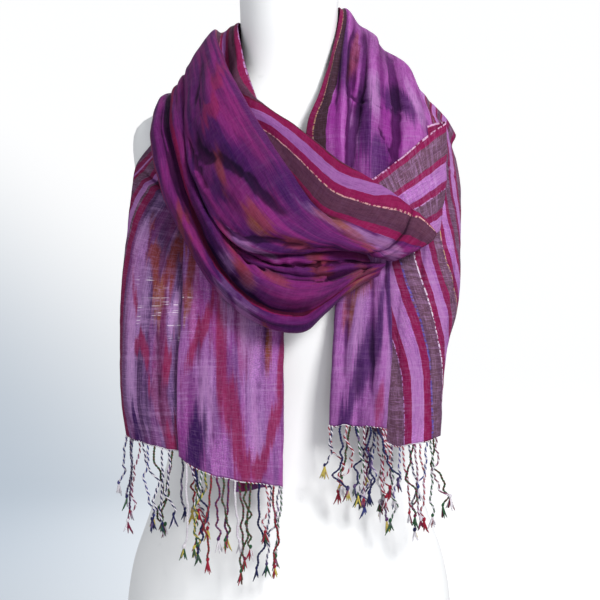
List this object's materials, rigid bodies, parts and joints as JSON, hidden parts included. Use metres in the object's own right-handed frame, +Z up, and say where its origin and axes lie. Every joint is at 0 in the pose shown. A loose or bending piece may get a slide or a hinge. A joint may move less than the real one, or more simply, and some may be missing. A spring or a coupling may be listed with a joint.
{
  "type": "woven scarf with fringe, wound on a limbless dress form",
  "caption": "Long woven scarf with striped borders and twisted fringe, wound once round the neck of a limbless torso dress form with a flat base.",
  "frame": {"origin": "centre of the dress form's flat base", "axes": "+Z up, the form's front towards -Y, +X to the right of someone looking at its front"},
  "size_m": [0.3466, 0.2852, 0.788],
  "materials": {
    "ikat_cloth": "light plain weave in violet and magenta with blurred warp-dyed streaks, soft sheen",
    "striped_border": "light plain weave with warp stripes in crimson, lilac and grey and dashed accent threads",
    "twisted_fringe": "two-ply twisted warp ends in mixed colours, knotted near the end",
    "dress_form": "smooth white moulded shell, satin"
  },
  "bodies": {
    "root": {"dress_form": "dress_form", "nape_wrap": "ikat_cloth", "back_wrap": "ikat_cloth", "right_border": "striped_border", "right_field": "ikat_cloth", "left_side": "striped_border", "left_front": "ikat_cloth", "right_turn": "striped_border", "swag_pleats": "ikat_cloth", "swag_gathers": "ikat_cloth", "front_swag": "ikat_cloth", "left_side_fringe": "twisted_fringe", "left_front_fringe": "twisted_fringe", "right_field_fringe": "twisted_fringe", "right_border_fringe": "twisted_fringe"}
  },
  "joints": []
}
